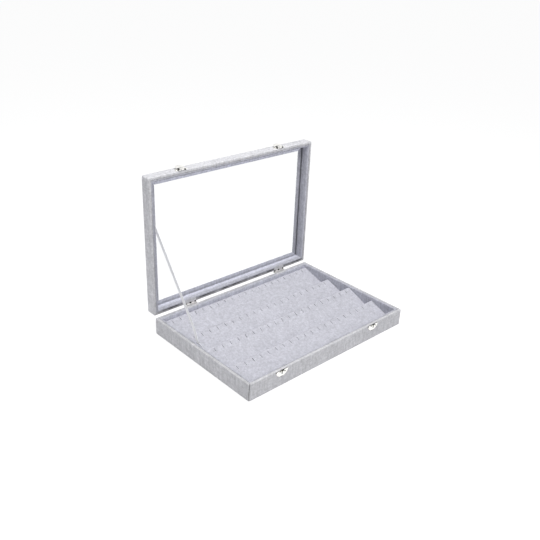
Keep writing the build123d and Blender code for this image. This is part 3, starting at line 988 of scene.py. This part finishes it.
class OuterCovers(bpy.types.Operator):
    """Wrap the base and the lid in velvet, with the seam on each rim"""
    bl_idname = "display_case.outer_covers"
    bl_label = "Outer covers"

    def execute(self, context):
        fold = VELVET / 2
        inner = EDGE_RADIUS - VELVET
        base = [
            (SEAM, BASE_TOP - VELVET, 0), (SEAM, BASE_TOP, fold), (SEAM - SEAM_BED, BASE_TOP, 0),
            (0, BASE_TOP, EDGE_RADIUS), (0, BASE_BOTTOM, VELVET), (TURN_UNDER, BASE_BOTTOM, fold),
            (TURN_UNDER, BASE_BOTTOM + VELVET, 0), (VELVET, BASE_BOTTOM + VELVET, 0),
            (VELVET, BASE_TOP - VELVET, inner)]
        obj = ring("base_velvet_cover", base, "base", 1, base_cover_nap, folds=[(-1, -1)])
        finished(obj, materials["outer"], "base", ["base_outer_cover"])
        flange = GLASS_DEPTH + GLASS_THICKNESS
        lid = [
            (SEAM, VELVET, 0), (SEAM, 0, fold), (SEAM - SEAM_BED, 0, 0), (0, 0, EDGE_RADIUS),
            (0, LID_DEPTH, EDGE_RADIUS), (WINDOW, LID_DEPTH, 1.2 * MM), (WINDOW, flange, 0),
            (WINDOW - VELVET, flange, 0), (WINDOW - VELVET, LID_DEPTH - VELVET, 0.4 * MM),
            (VELVET, LID_DEPTH - VELVET, inner), (VELVET, VELVET, inner)]
        obj = ring("lid_velvet_cover", lid, "lid", 2, lid_cover_nap)
        finished(obj, materials["outer"], "lid", ["lid_outer_cover"])
        return {"FINISHED"}


class Linings(bpy.types.Operator):
    """Line the inner walls of the base and the lid"""
    bl_idname = "display_case.linings"
    bl_label = "Linings"

    def execute(self, context):
        start = SEAM + SEAM_GAP
        fold = VELVET / 2
        inner = INNER_RADIUS - VELVET
        base = [
            (start, BASE_TOP - VELVET, 0), (start, BASE_TOP, fold), (start + SEAM_BED, BASE_TOP, 0),
            (WALL, BASE_TOP, INNER_RADIUS), (WALL, FLOOR_TOP, 0), (WALL - VELVET, FLOOR_TOP, 0),
            (WALL - VELVET, BASE_TOP - VELVET, inner)]
        obj = ring("base_wall_lining", base, "base", 3, base_lining_nap, corner_radius=0)
        finished(obj, materials["lining"], "base", ["base_lining"])
        foot = GLASS_DEPTH - 0.1 * MM
        lid = [
            (start, VELVET, 0), (start, 0, fold), (start + SEAM_BED, 0, 0), (WALL, 0, INNER_RADIUS),
            (WALL, foot, 0), (WALL - VELVET, foot, 0), (WALL - VELVET, VELVET, inner)]
        obj = ring("lid_wall_lining", lid, "lid", 4, lid_lining_nap, corner_radius=0)
        finished(obj, materials["lining"], "lid", ["lid_lining"])
        return {"FINISHED"}


class InsertTiers(bpy.types.Operator):
    """Lay the sloping tiers, with their rolled noses and rows of slits"""
    bl_idname = "display_case.insert_tiers"
    bl_label = "Insert tiers"

    def execute(self, context):
        sizes = context.scene.insert_sizes
        tree = slit_tree()
        for number in TIERS:
            node = f"insert_ramp_{number}"
            low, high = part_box(node)
            obj = self.panel(number, node, low, high)
            half_row = (sizes.slit_count - 1) / 2 * sizes.slit_pitch
            across = high.y - sizes.slit_setback - sizes.slit_length / 2
            run_tree(obj, tree, {
                "Count": sizes.slit_count,
                "Pitch": sizes.slit_pitch,
                "First": (-half_row, across, (low.z + high.z) / 2),
                "Slit Size": (sizes.slit_width, sizes.slit_length, 2 * (high.z - low.z)),
                "Material": materials["insert"]})
            finished(obj, materials["insert"], "base", [node], 35)
            finish_cad(materials["insert"], f"insert_riser_{number}")
        return {"FINISHED"}

    def panel(self, number, node, low, high):
        """A closed panel on the CAD tier's own section, with the gentle ripple of glued velvet."""
        riser_low, riser_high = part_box("insert_riser_1")
        riser = riser_high.y - riser_low.y
        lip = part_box(f"insert_riser_{number}")[1].z
        end = [v.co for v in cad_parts[node].data.vertices if abs(v.co.x - low.x) < TOUCHING]
        front_top = max(p.z for p in end if abs(p.y - low.y) < TOUCHING)
        thickness = front_top - low.z
        slope = self.slope(end, low, front_top)
        peak = front_top + slope * (high.y - low.y)
        corners = [
            (low.y, front_top, FRONT_RADIUS), (high.y, peak, NOSE_RADIUS), (high.y, lip, 0),
            (high.y - riser, lip, 0), (high.y - riser, peak - slope * riser - thickness, 0),
            (low.y, low.z, 0)]
        line = divide(round_corners(corners, NOSE_DEGREES), SECTION_STEP)
        parts = round((high.x - low.x) / LONG_STEP)
        points = []
        for k in range(parts + 1):
            x = low.x + (high.x - low.x) * k / parts
            for y, z in line:
                on_top = z > front_top + slope * (y - low.y) - thickness * TIER_SURFACE
                ripple = wander((x, y, 0), TIER_SPAN, TIER_RIPPLE, number * 3) if on_top else 0
                points.append((x, y, z + ripple))
        return mesh_object(f"velvet_tier_{number}", points, tube_faces(parts + 1, len(line)))

    def slope(self, end, low, front_top):
        """The rise of the tier, from the points of its CAD section that lie on the top line."""
        top = [p for p in end if p.y > low.y + SLOPE_START and p.z > front_top]
        return max(((p.z - front_top) / (p.y - low.y) for p in top), default=0)


class LidBeads(bpy.types.Operator):
    """Fit the four velvet-covered beads that hold the pane"""
    bl_idname = "display_case.lid_beads"
    bl_label = "Lid beads"

    def execute(self, context):
        front = GLASS_DEPTH - BEAD_THICKNESS
        for number, side in enumerate(SIDES):
            edge = BEAD_INSETS[side]
            corners = [
                (WALL, front, 0), (edge, front, BEAD_THICKNESS / 2), (edge, GLASS_DEPTH, 0.1 * MM),
                (WALL, GLASS_DEPTH, 0)]
            seed = BEAD_SEED + number
            obj = side_strip(f"velvet_bead_{side}", side, corners, seed, *BEAD_PAINTED_LIGHT[side])
            finished(obj, materials["lining"], "lid", [f"lid_{side}_bead"])
        return {"FINISHED"}


class Pane(bpy.types.Operator):
    """Give the pane its glass"""
    bl_idname = "display_case.pane"
    bl_label = "Pane"

    def execute(self, context):
        finish_cad(materials["glass"], "lid_glass")
        return {"FINISHED"}


class Carcass(bpy.types.Operator):
    """Finish the boards inside the covers and lay the felt underneath"""
    bl_idname = "display_case.carcass"
    bl_label = "Boards and felt"

    def execute(self, context):
        boards = [f"base_{side}_board" for side in SIDES] + [f"lid_{side}_rail" for side in SIDES]
        finish_cad(materials["board"], *boards, "base_floor")
        obj = self.felt_sheet(HALF_LENGTH - felt_high.x, felt_high.z - felt_low.z)
        finished(obj, materials["felt"], "base", ["base_underside"])
        return {"FINISHED"}

    def felt_sheet(self, inset, thickness):
        """The felt as a thin closed sheet with a slightly ragged cut edge."""
        path = rim_path(inset, CORNER_RADIUS + inset)
        edge = [(0.2 * MM, 0), (0, 0.25 * MM), (0, thickness - 0.1 * MM), (0.15 * MM, thickness)]
        points = []
        for draw, height in edge:
            for x, y in path:
                ragged = abs(wander((x, y, 0), RAGGED_SPAN, RAGGED_EDGE, RAGGED_SEED))
                inward = Vector((-x, -y)).normalized() * (draw + ragged)
                points.append((x + inward.x, y + inward.y, height))
        return mesh_object("underside_felt", points, tube_faces(len(edge), len(path)))


class Hinges(bpy.types.Operator):
    """Finish the hinge leaves and pins, and drive their slotted screws"""
    bl_idname = "display_case.hinges"
    bl_label = "Hinges"

    def execute(self, context):
        metal = materials["hinge"]
        for hand in HANDS:
            finish_cad(metal, *(f"hinge_{hand}_{part}" for part in ("base_leaf", "lid_leaf", "pin")))
        tree = stud_tree()
        for body, axis, way in (("base", "Z", 1), ("lid", "Y", -1)):
            studs(f"hinge_{body}_slotted_screws", f"hinge_{body}_screws", tree, SCREW_SIZES, axis, way,
                  body, metal, "hinge_nickel")
        return {"FINISHED"}


class Latches(bpy.types.Operator):
    """Finish the latches and catches, and drive their nails"""
    bl_idname = "display_case.latches"
    bl_label = "Latches"

    def execute(self, context):
        metal = materials["bright"]
        for hand in HANDS:
            finish_cad(metal, f"latch_{hand}_plate")
            finish_cad(materials["flap"], f"latch_{hand}_flap", f"latch_{hand}_pin")
            finish_cad(materials["catch"], f"catch_{hand}")
        tree = stud_tree()
        for fitting, body, axis, way in (("catch", "base", "Y", -1), ("latch", "lid", "Z", 1)):
            studs(f"{fitting}_round_nails", f"{fitting}_nails", tree, NAIL_SIZES, axis, way, body, metal,
                  "latch_nickel")
        return {"FINISHED"}


def islands(mesh):
    """The points of a mesh's separate solids, told apart by how far they stand from each other."""
    groups = []
    for vertex in mesh.vertices:
        for group in groups:
            if (vertex.co - group[0]).length < HEAD_SPACING:
                group.append(vertex.co)
                break
        else:
            groups.append([vertex.co])
    return groups


def studs(name, node, tree, sizes, axis, way, body, material, slot):
    """Screws or nails on the places of a CAD group's heads, facing along an axis."""
    number = "XYZ".index(axis)
    points = []
    for group in islands(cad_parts[node].data):
        low = [min(p[k] for p in group) for k in range(3)]
        high = [max(p[k] for p in group) for k in range(3)]
        point = [(low[k] + high[k]) / 2 for k in range(3)]
        outer = high if way > 0 else low
        point[number] = outer[number] - way * sizes["Head Height"]
        points.append(point)
    mesh = bpy.data.meshes.new(name)
    mesh.from_pydata(points, [], [])
    obj = linked(name, mesh)
    outward = Vector([way if k == number else 0 for k in range(3)])
    turn = outward.to_track_quat("Z", "X").to_euler()
    run_tree(obj, tree, {**sizes, "Turn": turn, "Material": material})
    finished(obj, material, body, [node], 35)


class Ribbon(bpy.types.Operator):
    """Stretch the satin ribbon from the lid to the base"""
    bl_idname = "display_case.ribbon"
    bl_label = "Ribbon"

    def execute(self, context):
        sizes = context.scene.ribbon_sizes
        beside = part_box("ribbon")[0].x + sizes.thickness / 2
        bends = [Vector((beside, AXIS_Y + y * MM, AXIS_Z + z * MM)) for y, z in RIBBON_LINE]
        route = smooth(bends, RIBBON_PARTS)
        section = ((-1, -1), (1, -1), (1, 1), (-1, 1))
        points = []
        uvs = []
        run = 0
        for i, here in enumerate(route):
            ahead = route[min(i + 1, len(route) - 1)] - route[max(i - 1, 0)]
            side = Vector((1, 0, 0)).cross(ahead).normalized() * sizes.width / 2
            if i:
                run += (here - route[i - 1]).length
            for across, out in section:
                points.append(here + side * across + Vector((out * sizes.thickness / 2, 0, 0)))
                uvs.append((across * 0.5 + 0.5, run / RIBBON_REPEAT))
        obj = mesh_object("satin_ribbon", points, tube_faces(len(route), len(section)))
        layer = obj.data.uv_layers.new(name="ribbon")
        for loop in obj.data.loops:
            layer.data[loop.index].uv = uvs[loop.vertex_index]
        finished(obj, materials["satin"], None, ["ribbon"])
        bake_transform(obj)
        return {"FINISHED"}


class Studio(bpy.types.Operator):
    """Set the floor, the lights, the sky and the camera"""
    bl_idname = "display_case.studio"
    bl_label = "Studio"

    def execute(self, context):
        settings = context.scene.studio_settings
        self.floor()
        self.sky(settings.world_strength)
        self.lamp("key_light", settings.key_power, *KEY_LIGHT)
        self.lamp("fill_light", settings.fill_power, *FILL_LIGHT)
        self.camera(context)
        context.scene.view_settings.view_transform = "Standard"
        return {"FINISHED"}

    def floor(self):
        corners = [(x * FLOOR_REACH, y * FLOOR_REACH, 0) for x, y in ((-1, -1), (1, -1), (1, 1), (-1, 1))]
        mesh = bpy.data.meshes.new("studio_floor")
        mesh.from_pydata(corners, [], [(0, 1, 2, 3)])
        material, tree, shader = new_material("pale_floor")
        feed(tree, shader, {"Base Color": (0.86, 0.86, 0.87), "Roughness": 0.9})
        glow = made(tree, "ShaderNodeEmission", {"Strength": 0.9})
        shadow = made(tree, "ShaderNodeBsdfDiffuse", {"Color": (0.22, 0.22, 0.22)})
        white = made(tree, "ShaderNodeAddShader", {0: glow, 1: shadow})
        show_either(tree, self.seen_directly(tree), shader.outputs["BSDF"], white)
        mesh.materials.append(material)
        linked("studio_floor", mesh)

    def seen_directly(self, tree):
        """1 for rays from the camera, a mirror or glass, which see the white of the studio."""
        return ray_is(tree, "Camera", "Glossy", "Transmission")

    def sky(self, strength):
        world = bpy.data.worlds.new("studio_sky")
        world.use_nodes = True
        tree = world.node_tree
        light = tree.nodes["Background"]
        feed(tree, light, {"Color": (0.97, 0.98, 1), "Strength": strength})
        white = made(tree, "ShaderNodeBackground", {"Color": (1, 1, 1), "Strength": 1})
        seen = self.seen_directly(tree)
        show_either(tree, seen, light.outputs["Background"], white, "World Output")
        bpy.context.scene.world = world

    def lamp(self, name, power, place, target, size):
        light = bpy.data.lights.new(name, "AREA")
        light.shape = "SQUARE"
        light.size = size
        light.energy = power
        obj = linked(name, light)
        obj.location = place
        aim = Vector(target) - Vector(place)
        obj.rotation_euler = aim.to_track_quat("-Z", "Y").to_euler()

    def camera(self, context):
        data = bpy.data.cameras.new("photo_camera")
        data.sensor_width = SENSOR
        data.lens = CAMERA_LENS
        data.clip_start = 0.01
        data.clip_end = 100
        level = math.cos(CAMERA_ELEVATION)
        back = Vector((
            math.sin(CAMERA_AZIMUTH) * level, -math.cos(CAMERA_AZIMUTH) * level,
            math.sin(CAMERA_ELEVATION)))
        right = (-back).cross(Vector((0, 0, 1))).normalized()
        up = right.cross(-back)
        turned_right = math.cos(CAMERA_ROLL) * right + math.sin(CAMERA_ROLL) * up
        turned_up = -math.sin(CAMERA_ROLL) * right + math.cos(CAMERA_ROLL) * up
        turn = Matrix((turned_right, turned_up, back)).transposed()
        camera = linked("photo_camera", data)
        camera.matrix_world = Matrix.Translation(CAMERA_PLACE) @ turn.to_4x4()
        context.scene.camera = camera


PIECES = (OuterCovers, Linings, InsertTiers, LidBeads, Pane, Carcass, Hinges, Latches, Ribbon, Studio)
GROUPS = {
    "case_finish": CaseFinish, "insert_sizes": InsertSizes, "ribbon_sizes": RibbonSizes,
    "studio_settings": StudioSettings}


class DisplayCasePanel(bpy.types.Panel):
    """Lists the steps that finish the display case, and their sizes and colours"""
    bl_idname = "VIEW3D_PT_display_case"
    bl_label = "Display Case"
    bl_space_type = "VIEW_3D"
    bl_region_type = "UI"
    bl_category = "Display Case"

    def draw(self, context):
        for piece in PIECES:
            self.layout.operator(piece.bl_idname)
        for group in GROUPS:
            box = self.layout.box()
            settings = getattr(context.scene, group)
            for name in settings.bl_rna.properties.keys():
                if name not in ("rna_type", "name"):
                    box.prop(settings, name)


def register():
    for cls in (*GROUPS.values(), *PIECES, DisplayCasePanel):
        bpy.utils.register_class(cls)
    for name, cls in GROUPS.items():
        setattr(bpy.types.Scene, name, PointerProperty(type=cls))


def unregister():
    for name in GROUPS:
        delattr(bpy.types.Scene, name)
    for cls in (DisplayCasePanel, *reversed(PIECES), *reversed(GROUPS.values())):
        bpy.utils.unregister_class(cls)


def main():
    register()
    make_materials()
    for piece in PIECES:
        group, name = piece.bl_idname.split(".")
        getattr(getattr(bpy.ops, group), name)()


if __name__ == "__main__":
    main()
